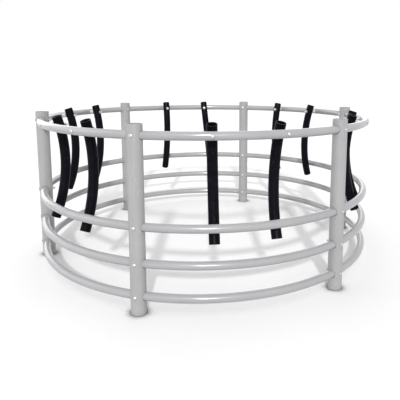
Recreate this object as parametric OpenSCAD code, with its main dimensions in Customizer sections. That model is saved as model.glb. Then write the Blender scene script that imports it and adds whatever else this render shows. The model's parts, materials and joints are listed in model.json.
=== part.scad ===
// Round bale feeder of plastic pipe: a ring that stands round a bale of hay.
// Six upright posts carry four ring rails that pass through them.
// Twelve bowed dividers hang inside the top rail, each on one bolt that it can swing on.
// Millimetres, +Z up. The origin is on the ground, at the centre of the ring.

/* [Ring] */
// Diameter of the ring, on the centre line of the rails
ring_d = 2440; // [2000:10:3000]

/* [Posts] */
// Height of a post
post_h = 1076; // [900:1:1400]
// Outside diameter of a post's pipe
post_d = 90; // [80:1:110]
// Wall of a post's pipe
post_wall = 6; // [4:0.5:9]

/* [Rails] */
// Outside diameter of a rail's pipe
rail_d = 50; // [40:1:60]
// Wall of a rail's pipe
rail_wall = 4.5; // [3.5:0.1:6]
// Top of a post down to the top rail's centre line
top_rail_drop = 62; // [45:1:80]
// Ground up to the second rail's centre line
second_rail_z = 504; // [440:1:560]
// Ground up to the third rail's centre line
third_rail_z = 294; // [240:1:350]
// Ground up to the bottom rail's centre line
bottom_rail_z = 102; // [60:1:150]
// Play of a rail in the holes of a post, on the diameter
rail_play = 3; // [2.5:0.1:5]

/* [Couplers] */
// Length of the sleeve that joins two ends of a rail inside a post
coupler_len = 240; // [200:5:320]
// Wall of a coupler
coupler_wall = 4; // [3:0.1:6]
// Play of a coupler in a rail, on the diameter
coupler_play = 0.6; // [0.4:0.1:1.5]
// Gap between the two ends of a rail inside a post
joint_gap = 16; // [14:1:24]
// Post's centre line out to each coupler screw
screw_reach = 86; // [75:1:92]

/* [Dividers] */
// Outside diameter of a divider's pipe
divider_d = 63; // [48:1:72]
// Wall of a divider's pipe
divider_wall = 5; // [3.5:0.1:7]
// Bend radius of a divider's centre line
bend_r = 960; // [700:10:1400]
// Top rail's centre line up to a divider's upper end
divider_rise = 56; // [40:1:90]
// Second rail's centre line down to a divider's lower end
divider_reach = 104; // [60:1:130]
// Length of the bush between the top rail and a divider
bush_len = 28; // [14:1:40]
// Outside diameter of that bush
bush_d = 32; // [26:1:38]
// Clear gap between the second rail and a divider
second_gap = 20; // [18:1:40]

/* [Fasteners] */
// Diameter of the bolts
bolt_d = 10; // [8:1:12]
// Diameter of a bolt's domed head
head_d = 24; // [20:1:28]
// Height of a bolt's domed head
head_h = 6; // [4:0.5:8]
// Width of a nut across its flats
nut_af = 17; // [15:1:19]
// Height of a nut
nut_h = 8.5; // [6:0.5:11]
// Diameter of a washer
washer_d = 26; // [20:1:30]
// Thickness of a washer
washer_t = 2; // [1.5:0.5:3]
// Bolt that stands out past its nut
bolt_tail = 10; // [4:1:20]
// Diameter of a coupler screw
screw_d = 5; // [4:0.5:6]
// Width of a coupler screw's head across its flats
screw_af = 10; // [8:1:12]
// Height of a coupler screw's head
screw_head_h = 4; // [3:0.5:5]

/* [Hidden] */
// Play round a bolt in a fixed piece, on the diameter
bolt_play = 0.6;
// Play round a bolt in a divider that swings on it, on the diameter
swing_play = 0.12;
// Clear gap between pieces that lie against each other
seat = 0.1;
// Clear gap between a divider and the pieces that it swings between
swing_seat = 0.5;
// Coupler screw that stands in past the coupler's wall
screw_tip = 3;
// Extra length of a cut past each face that it opens
CUT = 1;
$fn = 96;
RING_FN = 360;

BAYS = 6;
BAY = 360 / BAYS;
SPAN = 2;
SEGMENTS = BAYS / SPAN;
RAILS = ["top_rail", "second_rail", "third_rail", "bottom_rail"];
DIVIDERS = 2 * BAYS;
// Lean of each divider about its own bolt as it hangs, by the right-hand rule about the outward bolt
LEAN = [5, 1, -6, 1, 0, -2, 0, 0, 1, -3, 2, 0];

ring_r = ring_d / 2;
rail_r = rail_d / 2;
post_r = post_d / 2;
divider_r = divider_d / 2;
screw_len = rail_wall + coupler_play / 2 + coupler_wall + screw_tip;
screw_angle = asin(screw_reach / ring_r);
top_rail_z = post_h - top_rail_drop;
rail_z = [top_rail_z, second_rail_z, third_rail_z, bottom_rail_z];

// A divider's centre line is an arc in the upright plane through its bolt.
// It passes its bolt at pivot_x and the second rail at pass_x, both counted from the ring's axis.
fall = top_rail_z - second_rail_z;
function half_bend(step) = asin(norm([step, fall]) / 2 / bend_r);
function chord_lean(step) = atan2(step, fall);
// Slopes from upright at the bolt and at the second rail, if the pipe stood upright at both
near_slope = half_bend(bush_len - second_gap) - chord_lean(bush_len - second_gap);
pass_slope = half_bend(bush_len - second_gap) + chord_lean(bush_len - second_gap);
// Room that a flat round face needs so that the sloping pipe clears its edge
function slope_room(face_d) = face_d / 2 * tan(near_slope) + swing_seat;
pipe_half = divider_r / cos(near_slope);
pivot_x = ring_r - rail_r - seat - bush_len - slope_room(bush_d) - pipe_half;
pass_x = ring_r - rail_r - second_gap - divider_r / cos(pass_slope);
slope = half_bend(pass_x - pivot_x) - chord_lean(pass_x - pivot_x);
bend_x = pivot_x + bend_r * cos(slope);
bend_z = top_rail_z - bend_r * sin(slope);
upper_turn = asin((top_rail_z + divider_rise - bend_z) / bend_r);
lower_turn = asin((second_rail_z - divider_reach - bend_z) / bend_r);

// Direction of post i, counted from 0
function post_angle(i) = BAY * i;
// Direction of divider i, counted from 0: two stand in each bay, at its thirds
function divider_angle(i) = BAY * floor(i / 2) + BAY / 3 * (1 + i % 2);
// The rails of neighbouring rings are joined in different posts
function first_joint(ring) = BAY * (ring % 2);
function joint_angle(ring, j) = first_joint(ring) + SPAN * BAY * j;
// True when a divider's bolt goes through the rail that starts in this direction
function on_rail(i, start) = (divider_angle(i) - start + 360) % 360 < SPAN * BAY;

// Draws its children at the place on the ring in this direction, with +X outwards
module at(angle, r, z) {
    rotate([0, 0, angle]) translate([r, 0, z]) children();
}

// A round bar or hole along +X from x = 0
module bar(d, len) {
    rotate([0, 90, 0]) cylinder(d = d, h = len);
}

// A pipe bent round the axis, from its start on through its sweep
module bent_pipe(od, wall, r, start, sweep) {
    rotate([0, 0, start]) rotate_extrude(angle = sweep, $fn = RING_FN) translate([r, 0]) difference() {
        circle(d = od);
        circle(d = od - 2 * wall);
    }
}

// A six-sided bar along +X from x = 0
module hex(af, len) {
    rotate([0, 90, 0]) cylinder(d = af / cos(30), h = len, $fn = 6);
}

// A round domed head whose flat side is at x = 0
module dome(d, h) {
    ball_r = (d * d / 4 + h * h) / (2 * h);
    rotate([0, 90, 0]) rotate_extrude() intersection() {
        translate([0, h - ball_r]) circle(r = ball_r, $fn = RING_FN);
        square([d / 2, h]);
    }
}

module hex_nut() {
    difference() {
        hex(nut_af, nut_h);
        translate([-CUT, 0, 0]) bar(bolt_d + 2 * seat, nut_h + 2 * CUT);
    }
}

module washer() {
    difference() {
        bar(washer_d, washer_t);
        translate([-CUT, 0, 0]) bar(bolt_d + bolt_play, washer_t + 2 * CUT);
    }
}

// A bolt with its head outwards at x = 0 and its tail at x = -len
module dome_bolt(len) {
    dome(head_d, head_h);
    translate([-len, 0, 0]) bar(bolt_d, len);
}

module post(i) {
    color("gainsboro") at(post_angle(i), ring_r, 0) difference() {
        cylinder(d = post_d, h = post_h);
        translate([0, 0, -CUT]) cylinder(d = post_d - 2 * post_wall, h = post_h + 2 * CUT);
        for (z = rail_z) {
            translate([0, -post_r - CUT, z]) rotate([0, 0, 90]) bar(rail_d + rail_play, post_d + 2 * CUT);
            translate([-post_r - CUT, 0, z]) bar(bolt_d + bolt_play, post_d + 2 * CUT);
        }
    }
}

// A hole through a rail for a bolt, in this direction
module bolt_hole(angle) {
    at(angle, ring_r - rail_d, 0) bar(bolt_d + bolt_play, 2 * rail_d);
}

// A hole through the inner wall of a rail or coupler for a coupler screw
module screw_hole(angle) {
    at(angle, ring_r - rail_d, 0) bar(screw_d + 2 * seat, rail_d);
}

module rail(ring, j) {
    end_angle = asin(joint_gap / 2 / ring_r);
    start = joint_angle(ring, j);
    finish = start + SPAN * BAY;
    color("gainsboro") translate([0, 0, rail_z[ring]]) difference() {
        bent_pipe(rail_d, rail_wall, ring_r, start + end_angle, SPAN * BAY - 2 * end_angle);
        for (k = [1:SPAN - 1]) bolt_hole(start + BAY * k);
        for (a = [start + screw_angle, finish - screw_angle]) screw_hole(a);
        if (ring == 0)
            for (i = [0:DIVIDERS - 1])
                if (on_rail(i, start)) bolt_hole(divider_angle(i));
    }
}

module couplers(ring) {
    half_turn = asin(coupler_len / 2 / ring_r);
    coupler_d = rail_d - 2 * rail_wall - coupler_play;
    color("silver") translate([0, 0, rail_z[ring]]) for (j = [0:SEGMENTS - 1]) difference() {
        bent_pipe(coupler_d, coupler_wall, ring_r, joint_angle(ring, j) - half_turn, 2 * half_turn);
        bolt_hole(joint_angle(ring, j));
        for (side = [-1, 1]) screw_hole(joint_angle(ring, j) + side * screw_angle);
    }
}

module coupler_screws() {
    color("lightgray") for (ring = [0:len(RAILS) - 1], j = [0:SEGMENTS - 1], side = [-1, 1])
        at(joint_angle(ring, j) + side * screw_angle, ring_r - rail_r - seat, rail_z[ring]) {
            translate([-screw_head_h, 0, 0]) hex(screw_af, screw_head_h);
            bar(screw_d, screw_len);
        }
}

// Turns its children round the bolt at the top rail, in the plane across the bolt
module hang(lean) {
    translate([0, 0, top_rail_z]) rotate([lean, 0, 0]) translate([0, 0, -top_rail_z]) children();
}

module divider(i) {
    color("#15151c") at(divider_angle(i), 0, 0) hang(LEAN[i]) difference() {
        translate([bend_x, 0, bend_z]) rotate([90, 0, 0])
            bent_pipe(divider_d, divider_wall, bend_r, 180 - upper_turn, upper_turn - lower_turn);
        translate([pivot_x - divider_d, 0, top_rail_z]) bar(bolt_d + swing_play, 2 * divider_d);
    }
}

// The bush's outer end is coped to the rail
module bush(i) {
    color("gainsboro") at(divider_angle(i), ring_r, top_rail_z) difference() {
        translate([-rail_r - seat - bush_len, 0, 0]) bar(bush_d, bush_len + rail_r);
        rotate([90, 0, 0]) cylinder(d = rail_d + 2 * seat, h = rail_d, center = true);
        translate([-rail_d - bush_len, 0, 0]) bar(bolt_d + bolt_play, 2 * rail_d + bush_len);
    }
}

module post_bolts() {
    len = post_d + seat + washer_t + 2 * seat + nut_h + bolt_tail;
    color("silver") for (i = [0:BAYS - 1], z = rail_z)
        at(post_angle(i), ring_r + post_r + seat, z) dome_bolt(len);
}

module post_washers() {
    color("silver") for (i = [0:BAYS - 1], z = rail_z)
        at(post_angle(i), ring_r - post_r - seat - washer_t, z) washer();
}

module post_nuts() {
    color("silver") for (i = [0:BAYS - 1], z = rail_z)
        at(post_angle(i), ring_r - post_r - 2 * seat - washer_t - nut_h, z) hex_nut();
}

// Inner face of a divider's washer
washer_x = pivot_x - pipe_half - slope_room(washer_d) - washer_t;

module divider_bolts() {
    head_x = ring_r + rail_r + seat;
    color("silver") for (i = [0:DIVIDERS - 1])
        at(divider_angle(i), head_x, top_rail_z) dome_bolt(head_x - washer_x + seat + nut_h + bolt_tail);
}

module divider_washers() {
    color("silver") for (i = [0:DIVIDERS - 1])
        at(divider_angle(i), washer_x, top_rail_z) washer();
}

module divider_nuts() {
    color("silver") for (i = [0:DIVIDERS - 1])
        at(divider_angle(i), washer_x - seat - nut_h, top_rail_z) hex_nut();
}

for (i = [1:BAYS])
    post(i - 1);
for (ring = [0:len(RAILS) - 1], j = [1:SEGMENTS])
    rail(ring, j - 1);
for (ring = [0:len(RAILS) - 1])
    couplers(ring);
for (i = [1:DIVIDERS])
    divider(i - 1);
for (i = [1:DIVIDERS])
    bush(i - 1);
post_bolts();
post_washers();
post_nuts();
divider_bolts();
divider_washers();
divider_nuts();
coupler_screws();
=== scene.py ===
"""Looks of the round bale feeder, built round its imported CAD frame. Metres, +Z up, ground at z = 0."""
import json
import math

import bmesh
import bpy
from mathutils import Matrix, Vector


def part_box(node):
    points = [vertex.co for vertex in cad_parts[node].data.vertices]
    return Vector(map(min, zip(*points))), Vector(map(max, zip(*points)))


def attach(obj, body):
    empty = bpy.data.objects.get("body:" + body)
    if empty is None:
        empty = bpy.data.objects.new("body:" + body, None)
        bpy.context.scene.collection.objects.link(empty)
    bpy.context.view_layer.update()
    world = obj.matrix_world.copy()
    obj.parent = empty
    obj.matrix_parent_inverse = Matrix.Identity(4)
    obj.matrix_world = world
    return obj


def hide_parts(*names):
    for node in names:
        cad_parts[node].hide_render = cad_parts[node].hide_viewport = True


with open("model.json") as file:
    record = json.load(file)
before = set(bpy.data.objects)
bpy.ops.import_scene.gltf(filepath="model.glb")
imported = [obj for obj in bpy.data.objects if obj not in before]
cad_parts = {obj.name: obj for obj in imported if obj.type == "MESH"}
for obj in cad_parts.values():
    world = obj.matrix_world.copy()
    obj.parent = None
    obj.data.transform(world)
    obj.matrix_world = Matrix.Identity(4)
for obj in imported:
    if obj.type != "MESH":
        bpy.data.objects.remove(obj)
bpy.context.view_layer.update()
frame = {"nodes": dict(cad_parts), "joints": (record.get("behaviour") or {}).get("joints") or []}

MM = 0.001
TAU = 2 * math.pi
RAIL_NAMES = ("top_rail", "second_rail", "third_rail", "bottom_rail")
nodes = frame["nodes"]


# ---------------------------------------------------------------- sizes read from the frame
def middle(node):
    """Centre of a CAD node's box."""
    lo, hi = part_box(node)
    return (lo + hi) / 2


RING_R = middle("post_1").x
RAIL_Z = [middle(rail + "_1").z for rail in RAIL_NAMES]


def numbered(stem):
    """The CAD nodes called stem_1, stem_2 and so on."""
    return sorted(name for name in nodes if name.rpartition("_")[0] == stem and name[-1].isdigit())


CAMERA_BEARING = math.radians(-11.4)
CAMERA_REACH = 3.561
CAMERA_HEIGHT = 1.313
LOOK_RIGHT = math.radians(3.64)
LOOK_DOWN = math.radians(7.78)
CAMERA_ROLL = math.radians(0.21)
LENS = 40.1
SENSOR = 36.0
SHIFT = (-0.0875, -0.15)
LAMP_REACH = 10


def aim(obj, place, forward, roll=0.0):
    """Puts a camera or lamp at a place, looking along forward and rolled about it."""
    turn = forward.to_track_quat("-Z", "Y").to_matrix().to_4x4()
    obj.matrix_world = Matrix.Translation(place) @ turn @ Matrix.Rotation(roll, 4, "Z")


def add_camera():
    data = bpy.data.cameras.new("camera")
    data.lens = LENS
    data.sensor_width = SENSOR
    data.shift_x, data.shift_y = SHIFT
    camera = bpy.data.objects.new("camera", data)
    bpy.context.scene.collection.objects.link(camera)
    place = Vector((math.sin(CAMERA_BEARING), -math.cos(CAMERA_BEARING), 0)) * CAMERA_REACH
    place.z = CAMERA_HEIGHT
    heading = math.pi / 2 + CAMERA_BEARING - LOOK_RIGHT
    flat = math.cos(LOOK_DOWN)
    forward = Vector((math.cos(heading) * flat, math.sin(heading) * flat, -math.sin(LOOK_DOWN)))
    aim(camera, place, forward, CAMERA_ROLL)
    bpy.context.scene.camera = camera


def add_softbox(name, bearing, elevation, softness, strength):
    """A far lamp that fills an angle of softness. All its angles are in degrees."""
    data = bpy.data.lights.new(name, "SUN")
    data.angle = math.radians(softness)
    data.energy = strength
    lamp = bpy.data.objects.new(name, data)
    bpy.context.scene.collection.objects.link(lamp)
    turn, rise = math.radians(bearing), math.radians(elevation)
    back = Vector((math.sin(turn) * math.cos(rise), -math.cos(turn) * math.cos(rise), math.sin(rise)))
    aim(lamp, back * LAMP_REACH, -back)


def add_lights():
    world = bpy.data.worlds.new("studio")
    world.use_nodes = True
    sky = world.node_tree.nodes["Background"]
    sky.inputs["Color"].default_value = (1.0, 1.0, 1.0, 1.0)
    sky.inputs["Strength"].default_value = 1.0
    bpy.context.scene.world = world
    add_softbox("key", bearing=-12, elevation=29, softness=3.0, strength=2.7)
    add_softbox("fill", bearing=-12, elevation=42, softness=40, strength=0.35)
    add_softbox("glow_left", bearing=205, elevation=14, softness=36, strength=0.5)
    add_softbox("glow_right", bearing=160, elevation=14, softness=36, strength=0.35)
    add_softbox("side_left", bearing=252, elevation=24, softness=50, strength=0.6)
    bpy.context.scene.view_settings.view_transform = "Standard"


# ---------------------------------------------------------------- material helpers
class Shader:
    """A small builder for one material's node tree."""

    def __init__(self, name):
        self.material = bpy.data.materials.new(name)
        self.material.use_nodes = True
        self.tree = self.material.node_tree
        self.surface = self.tree.nodes["Principled BSDF"]

    def add(self, kind, inputs=None, **settings):
        """A node with its settings, and its inputs given by name or number as values or links."""
        node = self.tree.nodes.new("ShaderNode" + kind)
        for key, value in settings.items():
            setattr(node, key, value)
        for key, value in (inputs or {}).items():
            self.put(node.inputs[key], value)
        return node

    def put(self, socket, value):
        if isinstance(value, bpy.types.NodeSocket):
            self.tree.links.new(value, socket)
        else:
            socket.default_value = value

    def math(self, operation, a, b=0.0, c=0.0):
        node = self.add("Math", {0: a, 1: b, 2: c}, operation=operation)
        return node.outputs[0]

    def vector(self, x, y, z):
        return self.add("CombineXYZ", {0: x, 1: y, 2: z}).outputs[0]

    def split(self, vector):
        return self.add("SeparateXYZ", {0: vector}).outputs[:3]

    def noise(self, vector, scale, detail=2.0, roughness=0.5, distortion=0.0):
        node = self.add("TexNoise", {"Vector": vector, "Scale": scale, "Detail": detail,
                                     "Roughness": roughness, "Distortion": distortion})
        return node.outputs["Fac"]

    def remap(self, value, low, high, to_low=0.0, to_high=1.0):
        """value from low..high to to_low..to_high, smoothly and held at its ends."""
        node = self.add("MapRange", {"Value": value, "From Min": low, "From Max": high,
                                     "To Min": to_low, "To Max": to_high}, interpolation_type="SMOOTHSTEP")
        return node.outputs["Result"]

    def mix(self, amount, a, b):
        """Colour a at amount 0 and b at amount 1."""
        node = self.add("Mix", {0: amount}, data_type="RGBA")
        colours = [s for s in node.inputs if s.type == "RGBA"]
        self.put(colours[0], a)
        self.put(colours[1], b)
        return [s for s in node.outputs if s.type == "RGBA"][0]

    def object_point(self):
        return self.add("TexCoord").outputs["Object"]

    def edge(self, radius):
        """0 on open surface, rising to 1 on an edge. It marks the edges that the materials paint paler,
        partly as rubbed wear and partly as a painted highlight.
        """
        bevel = self.add("Bevel", {"Radius": radius}, samples=4)
        normal = self.add("NewGeometry").outputs["Normal"]
        dot = self.add("VectorMath", {0: bevel.outputs[0], 1: normal}, operation="DOT_PRODUCT")
        return self.remap(dot.outputs["Value"], 0.99, 0.80)

    def bump(self, height, distance, normal=None):
        """A normal bent by a height of 0 to 1, which stands for distance in metres."""
        inputs = {"Height": height, "Distance": distance, "Strength": 1.0}
        if normal is not None:
            inputs["Normal"] = normal
        return self.add("Bump", inputs).outputs[0]


def grey(level, blue=1.0):
    """An opaque grey in linear light, slightly blue where blue is over 1."""
    return (level, level, level * blue, 1.0)


# ---------------------------------------------------------------- where a point lies in a pipe
# The dividers stand at whole steps of 20 degrees round the ring. Each is bent round a centre outside the
# ring, and its bolt lies BEND_SLOPE above the level of that centre.
DIVIDER_STEPS = 18
BEND_R = 0.960
BEND_SLOPE = math.radians(14.0)
BEND_X = Vector(frame["joints"][0]["pos_m"]).xy.length + BEND_R * math.cos(BEND_SLOPE)
BEND_Z = RAIL_Z[0] - BEND_R * math.sin(BEND_SLOPE)


# Each gives a vector whose X and Y lie across the pipe and whose Z runs along it, in metres.
def along_upright(shader):
    return shader.object_point()


def along_ring(shader):
    x, y, z = shader.split(shader.object_point())
    reach = shader.math("SQRT", shader.math("MULTIPLY_ADD", x, x, shader.math("MULTIPLY", y, y)))
    turn = shader.math("MULTIPLY", shader.math("ARCTAN2", y, x), RING_R)
    return shader.vector(reach, z, turn)


def along_divider(shader):
    """Turns each divider to face +X, then goes round the centre of its bend."""
    x, y, z = shader.split(shader.object_point())
    step = TAU / DIVIDER_STEPS
    steps = shader.math("ROUND", shader.math("DIVIDE", shader.math("ARCTAN2", y, x), step))
    place = shader.math("MULTIPLY", steps, step)
    back = shader.math("MULTIPLY", place, -1.0)
    turned_back = shader.add("VectorRotate", {"Vector": shader.vector(x, y, z), "Angle": back},
                             rotation_type="Z_AXIS")
    x, y, z = shader.split(turned_back.outputs[0])
    across = shader.math("SUBTRACT", BEND_X, x)
    up = shader.math("SUBTRACT", z, BEND_Z)
    reach = shader.math("SQRT", shader.math("MULTIPLY_ADD", across, across, shader.math("MULTIPLY", up, up)))
    turn = shader.math("MULTIPLY", shader.math("ARCTAN2", up, across), BEND_R)
    return shader.vector(reach, y, turn)


# ---------------------------------------------------------------- materials
BLACK_PALE = (0.0038, 0.0036, 0.0066, 1)
BLACK_DARK = (0.0020, 0.0019, 0.0034, 1)
BLACK_SCUFF_AND_EDGE_HIGHLIGHT = (0.034, 0.034, 0.046, 1)
DUST = (0.34, 0.325, 0.30, 1)
DIE_LINE_SQUEEZE = 0.012
SCUFF_SQUEEZE = 0.35
STREAK_SHADE = 0.88
# Width and strength of the paler edges, which are partly rubbed wear and partly a painted highlight.
WEAR_AND_HIGHLIGHT_EDGE = 2.5 * MM
EDGE_WEAR_AND_HIGHLIGHT = 0.55
PLASTIC_IOR = 1.5


def pipe_plastic(name, place, pale, dark, scuff_and_edge_highlight, roughness=0.4, gloss_level=0.5, scuff_amount=0.4,
                 relief=1.0, specks=0.0, dirt_height=0.0):
    """Extruded plastic pipe: die lines along it, a mottled skin, scuffs, and edges painted paler as rubbed
    wear and as a painted highlight.

    place gives the point in the pipe. Specks and a dusty foot up to dirt_height are left out at 0.
    """
    shader = Shader(name)
    point = place(shader)
    across_x, across_y, along = shader.split(point)
    drawn = shader.vector(across_x, across_y, shader.math("MULTIPLY", along, DIE_LINE_SQUEEZE))
    die_lines = shader.noise(drawn, scale=150, detail=4.0, roughness=0.65)
    broad = shader.noise(point, scale=5.5, detail=3.0, roughness=0.55)
    fine = shader.noise(point, scale=46, detail=4.0, roughness=0.6, distortion=0.4)
    orange_peel = shader.noise(point, scale=620, detail=2.0, roughness=0.5)
    stretched = shader.vector(across_x, across_y, shader.math("MULTIPLY", along, SCUFF_SQUEEZE))
    rubbing = shader.noise(stretched, scale=90, detail=5.0, roughness=0.72, distortion=1.4)
    rubbed = shader.remap(rubbing, 0.57, 0.70)
    patch = shader.remap(shader.noise(point, scale=9, detail=2.0), 0.40, 0.62)
    scuffed = shader.math("MULTIPLY", shader.math("MULTIPLY", rubbed, patch), scuff_amount)
    if specks > 0:
        speckle = shader.noise(point, scale=240, detail=3.0, roughness=0.7)
        speck = shader.remap(speckle, 0.66, 0.74, to_high=specks)
        scuffed = shader.math("MAXIMUM", scuffed, shader.math("MULTIPLY", speck, patch))
    worn_and_highlit_edge = shader.edge(WEAR_AND_HIGHLIGHT_EDGE)

    tone = shader.mix(shader.remap(broad, 0.32, 0.68), dark, pale)
    streak = tuple(STREAK_SHADE * level for level in dark[:3]) + (1,)
    tone = shader.mix(shader.remap(die_lines, 0.35, 0.65, to_high=0.45), tone, streak)
    tone = shader.mix(shader.remap(fine, 0.35, 0.7, to_high=0.22), tone, pale)
    tone = shader.mix(scuffed, tone, scuff_and_edge_highlight)
    # Edges are mixed towards the scuff colour: partly rubbed wear, partly a painted highlight along the
    # edges.
    tone = shader.mix(shader.math("MULTIPLY", worn_and_highlit_edge, EDGE_WEAR_AND_HIGHLIGHT), tone, scuff_and_edge_highlight)
    gloss = shader.remap(fine, 0.3, 0.7, to_low=0.88 * roughness, to_high=1.15 * roughness)
    gloss = shader.math("MULTIPLY_ADD", scuffed, 0.25, gloss)
    if dirt_height > 0:
        height = shader.split(shader.object_point())[2]
        low = shader.remap(height, dirt_height, 0.0)
        dust = shader.math("MULTIPLY", low, shader.remap(fine, 0.38, 0.62, to_low=0.05, to_high=0.45))
        tone = shader.mix(dust, tone, DUST)
        gloss = shader.math("MULTIPLY_ADD", dust, 0.2, gloss)
    shader.put(shader.surface.inputs["Base Color"], tone)
    shader.put(shader.surface.inputs["Roughness"], gloss)

    normal = shader.bump(orange_peel, 0.014 * relief * MM)
    normal = shader.bump(die_lines, 0.05 * relief * MM, normal=normal)
    normal = shader.bump(scuffed, -0.05 * relief * MM, normal=normal)
    shader.put(shader.surface.inputs["Normal"], normal)
    shader.surface.inputs["IOR"].default_value = PLASTIC_IOR
    shader.surface.inputs["Specular IOR Level"].default_value = gloss_level
    return shader.material


ZINC_DARK = (0.42, 0.43, 0.45, 1)
ZINC_PALE = (0.60, 0.61, 0.63, 1)
ZINC_STAIN = (0.50, 0.48, 0.44, 1)
ZINC_EDGE_WEAR_AND_HIGHLIGHT = (0.80, 0.80, 0.82, 1)


def zinc(name):
    """Dull zinc-plated steel: a clouded tone, a fine grain, small stains, and edges painted paler as wear
    and as a painted highlight.
    """
    shader = Shader(name)
    point = shader.object_point()
    cloud = shader.noise(point, scale=130, detail=4.0, roughness=0.65, distortion=0.6)
    grain = shader.noise(point, scale=1500, detail=2.0, roughness=0.6)
    stain = shader.remap(shader.noise(point, scale=60, detail=3.0, roughness=0.6), 0.58, 0.74)
    tone = shader.mix(shader.remap(cloud, 0.3, 0.7), ZINC_DARK, ZINC_PALE)
    tone = shader.mix(shader.math("MULTIPLY", stain, 0.35), tone, ZINC_STAIN)
    # Paler edges: partly rubbed wear and partly a painted highlight.
    tone = shader.mix(shader.math("MULTIPLY", shader.edge(0.8 * MM), 0.5), tone, ZINC_EDGE_WEAR_AND_HIGHLIGHT)
    shader.put(shader.surface.inputs["Base Color"], tone)
    shader.put(shader.surface.inputs["Roughness"], shader.remap(cloud, 0.3, 0.7, to_low=0.36, to_high=0.52))
    normal = shader.bump(grain, 0.03 * MM)
    shader.put(shader.surface.inputs["Normal"], shader.bump(cloud, 0.08 * MM, normal=normal))
    shader.surface.inputs["Metallic"].default_value = 1.0
    return shader.material


def floor_paint(name):
    """A pale studio floor with a faint cloud in it, and painted shade that darkens it close to the posts'
    feet.
    """
    shader = Shader(name)
    cloud = shader.noise(shader.object_point(), scale=0.7, detail=3.0)
    tone = shader.mix(shader.remap(cloud, 0.3, 0.7), grey(0.655), grey(0.668))
    # Painted shade: where the ambient-occlusion node finds the posts' feet close by, the floor colour goes
    # towards near black, standing in for contact shadow.
    painted_contact_shade = shader.add("AmbientOcclusion", {"Distance": 80 * MM}, samples=8).outputs["AO"]
    tone = shader.mix(shader.remap(painted_contact_shade, 0.50, 0.92), grey(0.06), tone)
    shader.put(shader.surface.inputs["Base Color"], tone)
    shader.surface.inputs["Roughness"].default_value = 0.9
    shader.surface.inputs["Specular IOR Level"].default_value = 0.1
    return shader.material


# ---------------------------------------------------------------- meshes
SMOOTH_UP_TO = math.radians(35)
HEX_CORNER = math.pi / 6


def outward(mesh):
    """Turns the faces of closed shapes outwards."""
    work = bmesh.new()
    work.from_mesh(mesh)
    bmesh.ops.recalc_face_normals(work, faces=work.faces)
    work.to_mesh(mesh)
    work.free()


def mesh_object(name, verts, faces, material, smooth=True):
    """An object in the scene. smooth is for closed shapes, which are shaded smooth between sharp edges."""
    mesh = bpy.data.meshes.new(name)
    mesh.from_pydata(verts, [], faces)
    mesh.validate()
    if smooth:
        outward(mesh)
    mesh.materials.append(material)
    obj = bpy.data.objects.new(name, mesh)
    bpy.context.scene.collection.objects.link(obj)
    if smooth:
        mesh.shade_smooth()
        mesh.set_sharp_from_angle(angle=SMOOTH_UP_TO)
    return obj


def tube_faces(rows, around, closed=True):
    """Quads between rows of points round an axis. closed also joins the last row to the first."""
    faces = []
    for row in range(rows if closed else rows - 1):
        step = ((row + 1) % rows) * around - row * around
        for k in range(around):
            a, b = row * around + k, row * around + (k + 1) % around
            faces.append((a, b, b + step, a + step))
    return faces


def turned(profile, around=48):
    """A profile of (along, radius) points turned round +X, as (verts, faces). Radius 0 is a single point."""
    verts, faces, rings = [], [], []
    for along, radius in profile:
        if radius == 0:
            rings.append([len(verts)])
            verts.append((along, 0.0, 0.0))
        else:
            rings.append(list(range(len(verts), len(verts) + around)))
            angles = [TAU * k / around for k in range(around)]
            verts += [(along, radius * math.cos(angle), radius * math.sin(angle)) for angle in angles]
    for low, high in zip(rings, rings[1:]):
        for k in range(around):
            n = (k + 1) % around
            corners = [low[k % len(low)], low[n % len(low)], high[n % len(high)], high[k % len(high)]]
            faces.append(tuple(dict.fromkeys(corners)))
    return verts, faces


def arc(centre, radius, start, end, steps):
    """Points (along, across) on an arc, angles in degrees."""
    points = []
    for k in range(steps + 1):
        a = math.radians(start + (end - start) * k / steps)
        points.append((centre[0] + radius * math.cos(a), centre[1] + radius * math.sin(a)))
    return points


def joined(parts):
    """Many (verts, faces) shapes as one."""
    verts, faces = [], []
    for part_verts, part_faces in parts:
        base = len(verts)
        verts += part_verts
        faces += [tuple(base + k for k in face) for face in part_faces]
    return verts, faces


# The bolts' thread, and the taper at its end: how long it is, and the share of the radius that is left
PITCH = 1.5 * MM
THREAD_DEPTH = 0.54 * PITCH
TAPER_LENGTH = 1.2 * PITCH
END_SHARE = 0.82


def bolt_shape(under_head, head_r, head_h, shank_r, length, thread_length, around=40, per_turn=8):
    """A domed bolt along -X: its head's flat side at under_head, and a cut thread tapered at its end."""
    ball_r = (head_r ** 2 + head_h ** 2) / (2 * head_h)
    rim = 0.7 * MM
    fillet = 0.6 * MM
    half = math.degrees(math.asin((head_r - rim / 3) / ball_r))
    dome = arc((under_head + head_h - ball_r, 0), ball_r, 0, half, 14)
    dome[0] = (under_head + head_h, 0)
    end = under_head - length
    start = end + thread_length
    profile = dome + [(under_head + rim, head_r), (under_head + rim / 3, head_r - rim / 8)]
    profile += [(under_head, head_r - rim), (under_head, shank_r + fillet)]
    profile += [(under_head - fillet, shank_r), (start, shank_r)]
    verts, faces = turned(profile, around)
    first = len(verts) - around
    rows = int(thread_length / PITCH * per_turn)
    for row in range(1, rows + 1):
        x = start - thread_length * row / rows
        run_in = min(1.0, row / per_turn)
        full = min(1.0, (x - end) / TAPER_LENGTH)
        for k in range(around):
            phase = ((start - x) / PITCH + k / around) % 1.0
            groove = THREAD_DEPTH * (1 - abs(2 * phase - 1)) * run_in
            radius = (shank_r - groove) * (END_SHARE + (1 - END_SHARE) * full)
            angle = TAU * k / around
            verts.append((x, radius * math.cos(angle), radius * math.sin(angle)))
    faces += [tuple(first + k for k in face) for face in tube_faces(rows + 1, around, closed=False)]
    faces.append(tuple(range(len(verts) - around, len(verts))))
    return verts, faces


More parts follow.
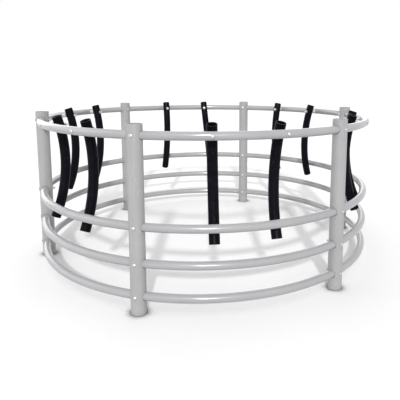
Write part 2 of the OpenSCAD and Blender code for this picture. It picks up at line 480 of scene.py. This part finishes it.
def hexagon(flat_r, angle):
    """The radius at an angle of a hexagon whose flats lie flat_r from its middle."""
    return flat_r / math.cos((angle + HEX_CORNER) % (2 * HEX_CORNER) - HEX_CORNER)


def swept(start, outline, around):
    """Rows of points round +X from start, and their count. outline(angle) gives (along, radius) points."""
    columns = []
    for k in range(around):
        angle = TAU * k / around
        columns.append([(start + x, radius * math.cos(angle), radius * math.sin(angle))
                        for x, radius in outline(angle)])
    rows = list(zip(*columns))
    return [point for row in rows for point in row], len(rows)


def nut_shape(start, height, across_flats, hole_r, around=72):
    """A hexagon nut from start along +X, with its corners chamfered by a cone and its hole countersunk."""
    flat_r = across_flats / 2
    chamfer_r = 0.93 * flat_r
    chamfer_slope = math.tan(math.radians(30))
    sink = 0.8 * MM

    def outline(angle):
        hex_r = hexagon(flat_r, angle)
        drop = (hex_r - chamfer_r) * chamfer_slope
        return [(0, hole_r + sink), (0, chamfer_r), (drop, hex_r), (height - drop, hex_r),
                (height, chamfer_r), (height, hole_r + sink), (height - sink, hole_r), (sink, hole_r)]

    verts, rows = swept(start, outline, around)
    return verts, tube_faces(rows, around)


def washer_shape(start, thickness, outer_r, hole_r, around=48):
    """A stamped flat washer from start along +X, its edges rounded more on that side than on the other."""
    soft = 0.35 * thickness
    burr = 0.5 * soft
    end = start + thickness
    profile = [(start, hole_r + soft), (start, outer_r - soft)]
    profile += [(start + soft * 0.3, outer_r - soft * 0.3), (start + soft, outer_r)]
    profile += [(end - burr, outer_r), (end, outer_r - burr), (end, hole_r + burr), (end - burr, hole_r)]
    profile.append((start + soft, hole_r))
    verts, _ = turned(profile, around)
    return verts, tube_faces(len(profile), around)


def screw_shape(start, length, flange_r, head_h, shank_r, around=72):
    """A hexagon-headed screw from start along +X: a chamfered head on a flange, and a pointed shank."""
    flat_r = 0.9 * flange_r * math.cos(HEX_CORNER)
    flange_h = 0.3 * head_h
    flange_at = head_h - flange_h

    def outline(angle):
        hex_r = hexagon(flat_r, angle)
        drop = (hex_r - flat_r) * 0.6 + 0.2 * MM
        return [(0, 0.5 * flat_r), (0, 0.94 * flat_r), (drop, hex_r), (flange_at, hex_r),
                (flange_at, hex_r + 0.05 * MM), (head_h - 0.4 * flange_h, flange_r), (head_h, flange_r),
                (head_h, shank_r), (length - 2 * shank_r, shank_r), (length, 0.1 * shank_r)]

    verts, rows = swept(start, outline, around)
    faces = tube_faces(rows, around, closed=False)
    faces.append(tuple(range(around)))
    faces.append(tuple(range((rows - 1) * around, rows * around)))
    return verts, faces


# ---------------------------------------------------------------- fasteners, placed where the CAD has them
# Points that lie further apart than this round the ring belong to different fasteners
APART = math.radians(1.5)
NEAR_A_RAIL = 50 * MM


def solids(node):
    """(direction, height, inner reach, outer reach, widest radius) of each fastener in a CAD node."""
    points = [v.co for v in nodes[node].data.vertices]
    polar = sorted((math.atan2(p.y, p.x) % TAU, p) for p in points)
    groups, last = [], None
    for angle, point in polar:
        if last is None or angle - last > APART:
            groups.append([])
        groups[-1].append((angle, point))
        last = angle
    if len(groups) > 1 and groups[0][0][0] + TAU - groups[-1][-1][0] < APART:
        groups[0] = [(angle - TAU, point) for angle, point in groups.pop()] + groups[0]
    found = []
    for group in groups:
        direction = (group[0][0] + group[-1][0]) / 2
        out = Vector((math.cos(direction), math.sin(direction), 0))
        side = Vector((-out.y, out.x, 0))
        for rail_z in RAIL_Z:
            here = [p for _, p in group if abs(p.z - rail_z) < NEAR_A_RAIL]
            if here:
                reach = [p.dot(out) for p in here]
                wide = max(math.hypot(p.dot(side), p.z - rail_z) for p in here)
                found.append((direction, rail_z, min(reach), max(reach), wide))
    return found


def placed(shape, direction, height):
    """A shape along +X turned to point outwards in a direction, at a height."""
    verts, faces = shape
    turn = Matrix.Rotation(direction, 4, "Z")
    turn.translation.z = height
    return [tuple(turn @ Vector(v)) for v in verts], faces


def fastener_group(node, shape_of, material):
    """Replaces a CAD node of fasteners by shape_of(inner reach, outer reach, widest radius) at each."""
    parts = [placed(shape_of(inner, outer, wide), direction, height)
             for direction, height, inner, outer, wide in solids(node)]
    piece = mesh_object(node + "_detailed", *joined(parts), material)
    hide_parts(node)
    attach(piece, "frame")


HEAD_H = 6 * MM
BOLT_R = 5 * MM
NUT_HOLE_R = 5.1 * MM
WASHER_HOLE_R = 5.3 * MM
THREAD_LENGTH = 12 * MM
SCREW_HEAD_H = 4 * MM
SCREW_R = 2.5 * MM


def add_fasteners(steel):
    def bolt(inner, outer, wide):
        length = outer - HEAD_H - inner
        return bolt_shape(outer - HEAD_H, wide, HEAD_H, BOLT_R, length, THREAD_LENGTH)

    def nut(inner, outer, wide):
        return nut_shape(inner, outer - inner, 2 * wide * math.cos(HEX_CORNER), NUT_HOLE_R)

    def washer(inner, outer, wide):
        return washer_shape(inner, outer - inner, wide, WASHER_HOLE_R)

    def screw(inner, outer, wide):
        return screw_shape(inner, outer - inner, wide, SCREW_HEAD_H, SCREW_R)

    fastener_group("coupler_screws", screw, steel)
    for owner in ("post", "divider"):
        fastener_group(owner + "_bolts", bolt, steel)
        fastener_group(owner + "_nuts", nut, steel)
        fastener_group(owner + "_washers", washer, steel)


# ---------------------------------------------------------------- the CAD's own pieces
def finish_with(names, material):
    """Gives CAD nodes a material."""
    for name in names:
        for slot in nodes[name].material_slots:
            slot.material = material


# The floor lies just under the posts' feet, so that no two faces share a plane
FLOOR_R = 40.0
FLOOR_SIDES = 64
FLOOR_Z = -0.5 * MM


def add_floor():
    angles = [TAU * k / FLOOR_SIDES for k in range(FLOOR_SIDES)]
    verts = [(FLOOR_R * math.cos(angle), FLOOR_R * math.sin(angle), FLOOR_Z) for angle in angles]
    face = tuple(range(FLOOR_SIDES))
    floor = mesh_object("floor", verts, [face], floor_paint("floor_paint"), smooth=False)


add_camera()
add_lights()
add_floor()

steel = zinc("zinc_plate")
post_skin = pipe_plastic("post_skin", along_upright, grey(0.272, 1.015), grey(0.252, 1.015), grey(0.36),
                         roughness=0.42, scuff_amount=0.6, dirt_height=0.10)
rail_skin = pipe_plastic("rail_skin", along_ring, grey(0.275, 1.035), grey(0.256, 1.035), grey(0.36),
                         roughness=0.20, gloss_level=0.62, scuff_amount=0.3, relief=0.35)
sleeve_skin = pipe_plastic("sleeve_skin", along_ring, grey(0.36), grey(0.30), grey(0.5), roughness=0.5)
# A bush is too short to show which way its grain runs, so it takes the upright one
bush_skin = pipe_plastic("bush_skin", along_upright, grey(0.48), grey(0.40), grey(0.55), roughness=0.45)
divider_skin = pipe_plastic("divider_skin", along_divider, BLACK_PALE, BLACK_DARK, BLACK_SCUFF_AND_EDGE_HIGHLIGHT,
                            roughness=0.34, gloss_level=0.045, scuff_amount=0.8, specks=1.0)

finish_with(numbered("post"), post_skin)
for rail in RAIL_NAMES:
    finish_with(numbered(rail), rail_skin)
    finish_with([rail + "_couplers"], sleeve_skin)
finish_with(numbered("divider"), divider_skin)
finish_with(numbered("bush"), bush_skin)
add_fasteners(steel)
